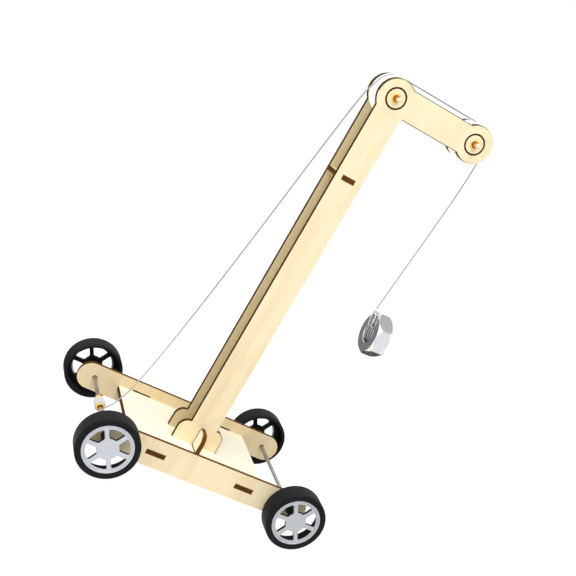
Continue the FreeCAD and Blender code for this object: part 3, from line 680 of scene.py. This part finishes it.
def paper_sweep(name):
    """Matt white paper: white where the lamps reach it, with the object's soft shadow kept
    faint, as bright paper shows it."""
    material, tree, shader = new_material(name)
    tree.nodes.remove(shader)
    flat, faint = (add(tree, "BsdfDiffuse", {"Color": (grey, grey, grey, 1.0)}).outputs[0]
                   for grey in (0.85, 0.22))
    glow = add(tree, "Emission", {"Color": (0.94, 0.94, 0.94, 1.0)}).outputs[0]
    mostly = add(tree, "AddShader", {0: faint, 1: glow}).outputs[0]
    shown = add(tree, "MixShader", {0: seen_rays(tree), 1: flat, 2: mostly}).outputs[0]
    feed(tree, tree.nodes["Material Output"], {"Surface": shown})
    return material


def seen_rays(tree):
    """1 for camera, glossy and transmitted rays."""
    path = add(tree, "LightPath").outputs
    pair = larger(tree, path["Is Camera Ray"], path["Is Glossy Ray"])
    return larger(tree, pair, path["Is Transmission Ray"])


# Operators


class CAR_OT_light_stage(bpy.types.Operator):
    """Camera at the photograph's angle, white floor, soft lamps and a white surround."""

    bl_idname = "car.light_stage"
    bl_label = "Light the stage"

    def execute(self, context):
        scene = context.scene
        scene.view_settings.view_transform = "Standard"
        camera = bpy.data.cameras.new("photo_camera")
        camera.sensor_width = 36.0
        camera.lens = CAMERA_LENS
        viewer = bpy.data.objects.new("photo_camera", camera)
        place = Matrix(CAMERA_AXES).transposed().to_4x4()
        place.translation = [c * MM for c in CAMERA_PLACE]
        viewer.matrix_world = place
        scene.collection.objects.link(viewer)
        scene.camera = viewer
        self.floor(scene)
        self.surround(scene)
        for lamp in LAMPS:
            self.softbox(scene, *lamp)
        for card in CARDS:
            self.card(scene, *card)
        return {"FINISHED"}

    def floor(self, scene):
        """White paper under the car, far past the view."""
        reach = 3.0
        self.sheet(scene, "paper_floor", (-reach, -reach), (reach, reach), 0.0,
                   paper_sweep("white_paper"))

    def card(self, scene, name, low, high, height, grey):
        """A level card that shows only in reflections, as the dark parts of the room do."""
        material, tree, shader = new_material(name)
        tree.nodes.remove(shader)
        shown = add(tree, "Emission", {"Color": (grey, grey, grey, 1.0)}).outputs[0]
        feed(tree, tree.nodes["Material Output"], {"Surface": shown})
        card = self.sheet(scene, name, low, high, height, material)
        for rays in ("camera", "diffuse", "shadow", "transmission"):
            setattr(card, f"visible_{rays}", False)

    def sheet(self, scene, name, low, high, height, material):
        """A level sheet of one face between two corners, in metres."""
        mesh = bpy.data.meshes.new(name)
        mesh.from_pydata([(*low, height), (high[0], low[1], height), (*high, height),
                          (low[0], high[1], height)], [], [(0, 1, 2, 3)])
        mesh.materials.append(material)
        piece = bpy.data.objects.new(name, mesh)
        scene.collection.objects.link(piece)
        return piece

    def surround(self, scene):
        """A white background to the eye and to gloss, and a dimmer one that lights the car."""
        world = bpy.data.worlds.new("white_surround")
        world.use_nodes = True
        tree = world.node_tree
        tree.nodes.clear()
        fill = add(tree, "Background", {"Color": (1.0, 1.0, 1.0, 1.0),
                                                  "Strength": SURROUND_STRENGTH}).outputs[0]
        white = add(tree, "Background", {"Color": (1.0, 1.0, 1.0, 1.0),
                                                   "Strength": 1.0}).outputs[0]
        shown = add(tree, "MixShader", {0: seen_rays(tree), 1: fill, 2: white})
        add(tree, "OutputWorld", {"Surface": shown.outputs[0]})
        scene.world = world

    def softbox(self, scene, name, place, target, width, watts):
        """A square area lamp at a place, aimed at a target."""
        light = bpy.data.lights.new(name, "AREA")
        light.shape = "SQUARE"
        light.size = width
        light.energy = watts
        lamp = bpy.data.objects.new(name, light)
        back = unit(np.array(place) - np.array(target))
        right = unit(np.cross((0.0, 0.0, 1.0), back))
        turn = Matrix((right, np.cross(back, right), back)).transposed().to_4x4()
        turn.translation = place
        lamp.matrix_world = turn
        scene.collection.objects.link(lamp)


# The camera that the photograph's straight edges and wheel outlines give, in millimetres
CAMERA_LENS = 67.89
CAMERA_PLACE = (-244.12, -607.86, 264.12)
CAMERA_AXES = ((0.8351, -0.2381, 0.4960), (-0.4046, 0.3452, 0.8469), (-0.3728, -0.9078, 0.1919))
SURROUND_STRENGTH = 0.41
# Name, place, target, width in metres and power in watts
LAMPS = (
    ("top_softbox", (-0.15, -0.35, 1.3), (0.0, 0.0, 0.1), 0.9, 13.0),
    ("front_softbox", (-0.35, -1.0, 0.8), (0.0, 0.0, 0.1), 0.8, 4.0),
    ("left_softbox", (-1.2, -0.25, 0.5), (0.0, 0.0, 0.12), 0.8, 2.2),
)
# Grey cards that only gloss sees: name, corners low and high, height in metres, and grey
CARDS = (
    ("floor_card", (-0.7, 0.06), (0.9, 1.3), 0.002, 0.2),
    ("near_card", (0.04, 0.06), (0.32, 0.25), 0.003, 0.09),
    ("top_card", (0.25, 0.05), (1.0, 0.7), 1.2, 0.6),
)


class CAR_OT_run_strings(bpy.types.Operator):
    """The string from the spool over the pulleys to the nut, its winding, loops and knot."""

    bl_idname = "car.run_strings"
    bl_label = "Run the strings"

    def execute(self, context):
        c = colours()
        # One string in three painted tones of light and shade
        shaded_string = braided_string("stretched_polyester", c.thread, c.hanging)
        half_lit_string = braided_string("laden_polyester", c.hanging)
        lit_string = braided_string("bunched_polyester", c.lit_string)
        self.cord("wound_string", winding_points(), "rear_axle_set", "string_winding", lit_string,
                  "coiled")
        self.cord("drive_line", DRIVE_ROUTE, "chassis", "drive_string", shaded_string, "taut")
        self.hanging_line(half_lit_string)
        for side, route in LOOP_ROUTES.items():
            self.cord(f"{side}_loop_line", nut_to_world(np.array(route)), "weight",
                      f"{side}_weight_loop", lit_string, "hanging")
        self.knot(lit_string)
        return {"FINISHED"}

    def cord(self, name, route, body, stands_for, finish, lay):
        """A smooth curve of one spline with the route's points as its control points."""
        curve = route_curve(name, route)
        curve.data.bevel_depth = sizes().string_width / 2
        curve.data.bevel_resolution = 3
        curve.data.use_fill_caps = True
        curve.data.materials.append(finish)
        settle(curve, body, stands_for)
        self.declare(curve, spline_points(route), lay)

    def declare(self, piece, line, lay, **extra):
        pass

    def hanging_line(self, finish):
        """The length that the weight hangs on, which on the car shortens toward the pulley as the
        weight rises; it is a mesh: a circle carried along the spline's own points."""
        path = spline_points(HANGING_ROUTE)
        piece = mesh_piece("hanging_line", [tube_grid(path / MM, 12), *tube_caps(path / MM, 12)],
                           finish, "string_fall", "hanging_string")
        self.declare(piece, path, "hanging", path=path.tolist())
        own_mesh(piece)

    def knot(self, finish):
        """An overhand knot pulled tight: a tube along a trefoil whose point at angle a is
        (sin a + 2 sin 2a, 1.6 sin 3a, cos a - 2 cos 2a), shrunk to the knot's size."""
        a = np.linspace(0.0, FULL, 96, endpoint=False)
        line = np.stack([np.sin(a) + 2 * np.sin(2 * a), np.sin(3 * a) * 1.6,
                         np.cos(a) - 2 * np.cos(2 * a)], axis=-1)
        path = KNOT_MIDDLE + line * (KNOT_REACH / 3.0)
        mesh_piece("string_knot_tied", [(tube_grid(path, 10, closed=True), True, True)], finish,
                   "weight", "string_knot")


def route_curve(name, route):
    """A curve object with one smooth spline; its points are the route's, in metres."""
    data = bpy.data.curves.new(name, "CURVE")
    data.dimensions = "3D"
    data.resolution_u = 12
    spline = data.splines.new("NURBS")
    route = np.asarray(route, float) * MM
    spline.points.add(len(route) - 1)
    spline.points.foreach_set("co", np.column_stack([route, np.ones(len(route))]).ravel())
    spline.order_u = 3
    spline.use_endpoint_u = True
    curve = bpy.data.objects.new(name, data)
    bpy.context.scene.collection.objects.link(curve)
    return curve


def spline_points(route):
    """Points along the route's own spline, in metres, as the curve with no bevel gives them."""
    curve = route_curve("route_reading", route)
    mesh = bpy.data.meshes.new_from_object(
        curve.evaluated_get(bpy.context.evaluated_depsgraph_get()))
    points = np.empty(len(mesh.vertices) * 3)
    mesh.vertices.foreach_get("co", points)
    bpy.data.meshes.remove(mesh)
    bpy.data.objects.remove(curve)
    return points.reshape(-1, 3)


def tube_grid(path, steps, closed=False):
    """A circle of the string's radius carried along a path: its two directions are square to
    the tangent, the first also to a fixed direction, and the second to the first."""
    if closed:
        tangent = unit(np.roll(path, -1, axis=0) - np.roll(path, 1, axis=0))
    else:
        tangent = unit(np.gradient(path, axis=0))
    aside = unit(np.cross(tangent, (0.31, 0.93, 0.2)))
    across = np.cross(tangent, aside)
    angle = np.linspace(0.0, FULL, steps, endpoint=False)
    radius = sizes().string_width / MM / 2
    return (path[:, None] + radius * (np.cos(angle)[None, :, None] * aside[:, None]
                                      + np.sin(angle)[None, :, None] * across[:, None]))


def tube_caps(path, steps):
    """A fan at each end of a tube, from its last ring to the middle."""
    grid = tube_grid(path, steps)
    return [np.stack([grid[end], np.broadcast_to(path[end], (steps, 3))]) for end in (0, -1)]


def nut_to_world(points):
    """Nut coordinates (forward, across, up) to the frame's, in millimetres."""
    forward = np.array([-math.cos(NUT_LEAN), 0.0, -math.sin(NUT_LEAN)])
    up = np.array([-math.sin(NUT_LEAN), 0.0, math.cos(NUT_LEAN)])
    return (NUT_MIDDLE + points[..., :1] * forward + points[..., 1:2] * (0.0, 1.0, 0.0)
            + points[..., 2:3] * up)


def winding_points():
    """A helix round the spool: twelve points a turn, set out so that the smooth curve runs
    at the string's real distance from the axle."""
    s = sizes()
    per_turn, reach, near_end = 12, 2.97, -4.6
    last = math.radians(-10.0)
    count = int(round(s.wound_turns * per_turn)) + 1
    angle = last - np.arange(count)[::-1] * FULL / per_turn
    radius = reach / math.cos(math.pi / per_turn)
    y = near_end + (last - angle) / FULL * (s.wound_pitch / MM)
    return np.stack([REAR_X + radius * np.cos(angle), y, AXLE_Z + radius * np.sin(angle)],
                    axis=-1)


# Control points of the string's routes, in millimetres
DRIVE_ROUTE = (
    (-60.65, -5.7, 20.4), (-58.35, -5.65, 23.2), (-55.75, -5.6, 28.3), (-52.35, -5.5, 36.7),
    (-49.95, -5.4, 46.6), (-46.25, -4.95, 64.0), (-40.6, -4.1, 95.0), (-31.7, -2.7, 152.2),
    (-25.4, -1.6, 196.5), (-20.25, -0.6, 231.4), (-17.35, 0.2, 249.4), (-14.7, 0.8, 262.9),
    (-12.6, 0.9, 268.25), (-9.88, 1.0, 275.31), (-3.64, 1.0, 279.6), (3.9, 0.9, 279.6),
    (55.2, -0.9, 279.6), (62.72, -1.0, 279.6), (68.38, -1.0, 276.33), (71.65, -1.0, 270.67),
    (71.65, -1.0, 267.4),
)
HANGING_ROUTE = (
    (71.65, -1.0, 267.1), (72.45, -0.25, 247.25), (70.9, 1.2, 211.87), (68.49, 2.8, 172.4),
    (67.09, 3.8, 147.55),
)
# Loops through the nut's hole: forward of its middle, across, and up
LOOP_ROUTES = {
    "far": ((6.22, 4.5, 12.7), (6.12, 5.3, 9.5), (6.2, 4.4, 6.4), (6.3, 3.75, 3.6),
            (3.5, 3.6, 3.4), (-3.5, 3.5, 3.3), (-6.5, 3.55, 3.4), (-6.4, 4.2, 7.2),
            (-6.35, 4.7, 9.7), (-5.9, 4.9, 12.8), (-2.8, 4.9, 12.8), (2.0, 4.9, 12.6),
            (4.0, 4.8, 13.0), (5.34, 4.5, 13.5)),
    "near": ((6.33, 3.0, 13.4), (6.27, 1.0, 12.8), (6.21, -0.8, 11.9), (6.25, -0.9, 7.5),
             (6.3, -0.95, 4.4), (3.2, -0.9, 4.3), (-3.5, -0.6, 4.2), (-6.3, -0.6, 4.4),
             (-6.3, 0.5, 7.2), (-6.15, 2.2, 10.5), (-5.9, 3.1, 13.7), (-2.7, 3.2, 13.7),
             (2.0, 3.2, 13.6), (4.0, 3.2, 13.7), (5.34, 3.1, 13.9)),
}


class CAR_OT_finish_plywood(bpy.types.Operator):
    """Birch veneer and burnt edges on every laser-cut plate."""

    bl_idname = "car.finish_plywood"
    bl_label = "Finish the plywood"

    def execute(self, context):
        c = colours()
        for name, side in SIDES.items():
            dress(f"{name}_side_plate",
                  birch_plywood(f"birch_ply_{name}_side", 1, side * SIDE_MIDDLE, 0.6,
                                inner=c.side_inner_shade, marks=side_marks))
            dress(f"{name}_mast_plate",
                  birch_plywood(f"birch_ply_{name}_mast", 1, side * MAST_MIDDLE, 0.3,
                                inner=c.mast_inner_shade, marks=mast_marks))
            dress(f"{name}_gusset",
                  birch_plywood(f"birch_ply_{name}_gusset", 0, GUSSET_MIDDLE, 0.8,
                                veneer=c.deck, marks=gusset_marks))
        dress("deck_plate", birch_plywood("birch_ply_deck", 2, DECK_MIDDLE, 0.6, grain_axis=0,
                                          veneer=c.deck, grain_share=0.2))
        dress("mast_cross_brace", birch_plywood("birch_ply_brace", 2, BRACE_MIDDLE, 0.7,
                                                grain_axis=0))
        return {"FINISHED"}


def dress(node, material):
    """Puts a material on a CAD node, whose shape stays as it is."""
    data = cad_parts[node].data
    data.materials.clear()
    data.materials.append(material)


class CAR_OT_mould_wheels(bpy.types.Operator):
    """Black wheels: a hollow cup with a rounded tread, a spoked web and a hub boss."""

    bl_idname = "car.mould_wheels"
    bl_label = "Mould the wheels"

    def execute(self, context):
        s = sizes()
        steps = s.round_steps
        edge = s.moulded_edge / MM
        # The cup's inner radius, and the depths of the web's two faces and of the rod's end
        cup, face, back, rod_end = 16.8, 1.4, 3.2, 2.4
        web = spoked_sector(WINDOW_INNER, 13.6, SPOKE, BOSS, (CAP_SEAT, cup), face, back, edge,
                            s.window_corner / MM, steps)
        shell = rounded([(cup, back, 0), (cup, WHEEL_WIDTH, 0.35), (WHEEL, WHEEL_WIDTH, 1.5),
                         (WHEEL, 0.0, 1.5), (CAP_SEAT, 0.0, 0.2), (CAP_SEAT, face, 0)], 6)
        boss = rounded([(BOSS, back, 0), (BOSS, 18.5, 0.3), (ROD_BORE, 18.5, 0.1),
                        (ROD_BORE, rod_end, 0), (0.0, rod_end, 0)])
        hub_face = np.array([(BOSS, face), (0.0, face)])
        grids = [turned(p, 6 * steps) for p in (shell, boss, hub_face)] + six_times(web)
        for axle, name, side, place in wheel_places():
            mesh_piece(f"{name}_{axle}_tyre", [stand(grid, place, -side) for grid in grids],
                       moulded_black(f"black_moulding_{name}_{axle}", place),
                       f"{axle}_axle_set", f"{name}_{axle}_wheel")
        return {"FINISHED"}


# How light the silver coat of each pair is
CAP_TONES = {"rear": 1.0, "front": 0.84}


class CAR_OT_mould_hubcaps(bpy.types.Operator):
    """Silver hubcaps: a raised lip, six spokes and rings round the middle."""

    bl_idname = "car.mould_hubcaps"
    bl_label = "Mould the hubcaps"

    def execute(self, context):
        s = sizes()
        steps = s.round_steps
        face, back = 0.5, 1.38
        hub, rim = 5.6, 13.5
        spokes = spoked_sector(WINDOW_INNER, 12.7, SPOKE, hub, (rim, rim), face, back,
                               s.moulded_edge / MM, s.window_corner / MM, steps)
        lip = rounded([(rim, face, 0), (13.7, 0.75, 0.05), (13.95, 0.75, 0.05),
                       (14.15, 0.32, 0.1), (15.2, 0.32, 0.25), (15.2, back, 0),
                       (rim, back, 0)])
        middle = rounded([(hub, face, 0), (4.4, face, 0.1), (4.25, 0.58, 0.05),
                          (3.85, 0.58, 0.05), (3.7, 0.42, 0.1), (2.3, 0.42, 0.1),
                          (2.15, 0.5, 0.05), (1.85, 0.5, 0.05), (1.7, 0.42, 0.1),
                          (0.0, 0.42, 0)])
        under = np.array([(hub, back), (0.0, back)])
        grids = [turned(p, 6 * steps) for p in (lip, middle, under)] + six_times(spokes)
        for axle, name, side, place in wheel_places():
            mesh_piece(f"{name}_{axle}_cap", [stand(grid, place, -side) for grid in grids],
                       satin_silver(f"silver_coat_{name}_{axle}", place, CAP_TONES[axle]),
                       f"{axle}_axle_set", f"{name}_{axle}_hubcap")
        return {"FINISHED"}


class CAR_OT_draw_rods(bpy.types.Operator):
    """Steel on the axles and the pulley pins."""

    bl_idname = "car.draw_rods"
    bl_label = "Draw the rods"

    def execute(self, context):
        for axle, x in AXLE_X.items():
            dress(f"{axle}_axle", drawn_steel(f"drawn_steel_{axle}", (x, 0.0, AXLE_Z),
                                              colours().rod))
        for name, x in PULLEY_X.items():
            dress(f"{name}_pulley_pin", drawn_steel(f"drawn_steel_{name}_pin",
                                                    (x, 0.0, PULLEY_Z), colours().pin))
        return {"FINISHED"}


class CAR_OT_cut_tubing(bpy.types.Operator):
    """Amber tubing: the spool on the rear axle and a bush round each end of each pin."""

    bl_idname = "car.cut_tubing"
    bl_label = "Cut the tubing"

    def execute(self, context):
        around = 64
        hub, mouth = (REAR_X, 0.0, AXLE_Z), MOUTH["spool"]
        spool = rounded([(ROD_BORE, 0.0, 0), (ROD_BORE, -3.6, 0), (mouth, -5.8, 0.1),
                         (2.55, -5.8, 0.15), (2.55, 7.0, 0.15), (mouth, 7.0, 0.1),
                         (ROD_BORE, 4.8, 0), (ROD_BORE, 0.0, 0)])
        mesh_piece("amber_spool", [stand(turned(spool, around), hub)],
                   amber_tubing("amber_tube_spool", hub, mouth), "rear_axle_set",
                   "spool_tube")
        bush = rounded([(ROD_BORE, 6.0, 0), (ROD_BORE, 3.8, 0.1), (2.7, 3.8, 0.1),
                        (2.7, 9.85, 0.15), (MOUTH["bush"], 9.85, 0.1), (ROD_BORE, 8.45, 0),
                        (ROD_BORE, 6.0, 0)])
        for pulley, x in PULLEY_X.items():
            finish = amber_tubing(f"amber_tube_{pulley}", (x, 0.0, PULLEY_Z), MOUTH["bush"])
            for name, side in SIDES.items():
                mesh_piece(f"{name}_{pulley}_amber",
                           [stand(turned(bush, around), (x, 0.0, PULLEY_Z), side)], finish,
                           "chassis", f"{name}_{pulley}_bush")
        return {"FINISHED"}


class CAR_OT_mould_pulleys(bpy.types.Operator):
    """White grooved pulleys with a raised hub."""

    bl_idname = "car.mould_pulleys"
    bl_label = "Mould the pulleys"

    def execute(self, context):
        low, step = PULLEY_HALF, PULLEY_HALF - 0.8
        near = [(PULLEY_BORE, 0.0, 0), (PULLEY_BORE, -low, 0.1), (3.2, -low, 0.2),
                (3.4, -step, 0.2), (10.6, -step, 0.2), (10.8, -low, 0.2), (12.6, -low, 0.3),
                (12.6, -step, 0.3), (11.4, -1.6, 0.4)]
        outline = rounded(near + [(r, -d, rounding) for r, d, rounding in near[::-1]])
        finish = moulded_white("white_nylon")
        for name, x in PULLEY_X.items():
            mesh_piece(f"{name}_pulley_moulded",
                       [stand(turned(outline, 120), (x, 0.0, PULLEY_Z))], finish,
                       f"{name}_pulley_set", f"{name}_pulley")
        return {"FINISHED"}


class CAR_OT_make_nut(bpy.types.Operator):
    """The hexagon nut that drives the car, threaded and chamfered."""

    bl_idname = "car.make_nut"
    bl_label = "Make the nut"

    def execute(self, context):
        s = sizes()
        around = 216
        half, bore = NUT_HALF, NUT_BORE
        angle = np.linspace(0.0, FULL, around, endpoint=False)
        direction = np.stack([np.cos(angle), np.sin(angle)], axis=-1)
        sides = math.pi / 6 + np.arange(6) * math.pi / 3
        normals = np.stack([np.cos(sides), np.sin(sides)], axis=-1)
        hexagon = solve_outline(np.zeros(2), direction,
                                lambda p: normals @ p.T - NUT_FLAT, 9.0, 20.0)
        rows = []
        # The thread: its radius swings between crest and root once a pitch and once a turn
        w = np.linspace(half, -half, 99)[:, None]
        pitch, depth = s.thread_pitch / MM, s.thread_depth / MM
        phase = (w / pitch + angle / FULL) % 1.0
        cone = bore + np.maximum(0.0, np.abs(w) - (half - NUT_MOUTH))
        thread = bore + depth * np.clip(1.25 * (1.0 - np.abs(2.0 * phase - 1.0)) - 0.1, 0.0, 1.0)
        rows.append(ring_rows(np.maximum(cone, thread * (np.abs(w) < half - 0.05)), w))
        for sign in (-1.0, 1.0):
            share = np.linspace(0.0, 1.0, 4)[:, None]
            circle = NUT_CIRCLE if sign > 0 else np.minimum(FAR_CIRCLE, hexagon)
            chamfer_radius = circle + (hexagon - circle) * share
            drop = (chamfer_radius - circle) * math.tan(NUT_SLOPE)
            part = ring_rows(chamfer_radius, sign * (half - drop))
            rows.append(part if sign < 0 else part[::-1])
        rows.append(rows[0][:1])
        grid = np.concatenate(rows)
        local = np.stack([grid[..., 2], grid[..., 1], grid[..., 0]], axis=-1)
        mesh_piece("hexagon_nut", [nut_to_world(local)], zinc_plate("zinc_plated_steel"),
                   "weight", "weight_nut", sharp_degrees=25.0)
        return {"FINISHED"}


def ring_rows(radius, height):
    """Rings of points at each radius and height, from the top of the nut round its axis."""
    radius, height = np.broadcast_arrays(radius, height)
    angle = np.linspace(0.0, FULL, radius.shape[1], endpoint=False)
    return np.stack([radius * np.cos(angle), radius * np.sin(angle), height], axis=-1)


STEPS = (CAR_OT_light_stage, CAR_OT_run_strings, CAR_OT_finish_plywood, CAR_OT_mould_wheels,
         CAR_OT_mould_hubcaps, CAR_OT_draw_rods, CAR_OT_cut_tubing, CAR_OT_mould_pulleys,
         CAR_OT_make_nut)


class CAR_PT_pieces(bpy.types.Panel):
    """Lists the steps that dress the car, with its sizes and colours."""

    bl_idname = "CAR_PT_pieces"
    bl_label = "Model car"
    bl_space_type = "VIEW_3D"
    bl_region_type = "UI"
    bl_category = "Model car"

    def draw(self, context):
        for step in STEPS:
            self.layout.operator(step.bl_idname)
        for group in (context.scene.car_sizes, context.scene.car_colours):
            box = self.layout.box()
            for name in group.__annotations__:
                box.prop(group, name)


CLASSES = (CarColours, CarSizes, *STEPS, CAR_PT_pieces)


def register():
    for item in CLASSES:
        bpy.utils.register_class(item)
    bpy.types.Scene.car_colours = PointerProperty(type=CarColours)
    bpy.types.Scene.car_sizes = PointerProperty(type=CarSizes)


def unregister():
    del bpy.types.Scene.car_sizes
    del bpy.types.Scene.car_colours
    for item in reversed(CLASSES):
        bpy.utils.unregister_class(item)


def main():
    register()
    for step in STEPS:
        group, name = step.bl_idname.split(".")
        getattr(getattr(bpy.ops, group), name)()


if __name__ == "__main__":
    main()
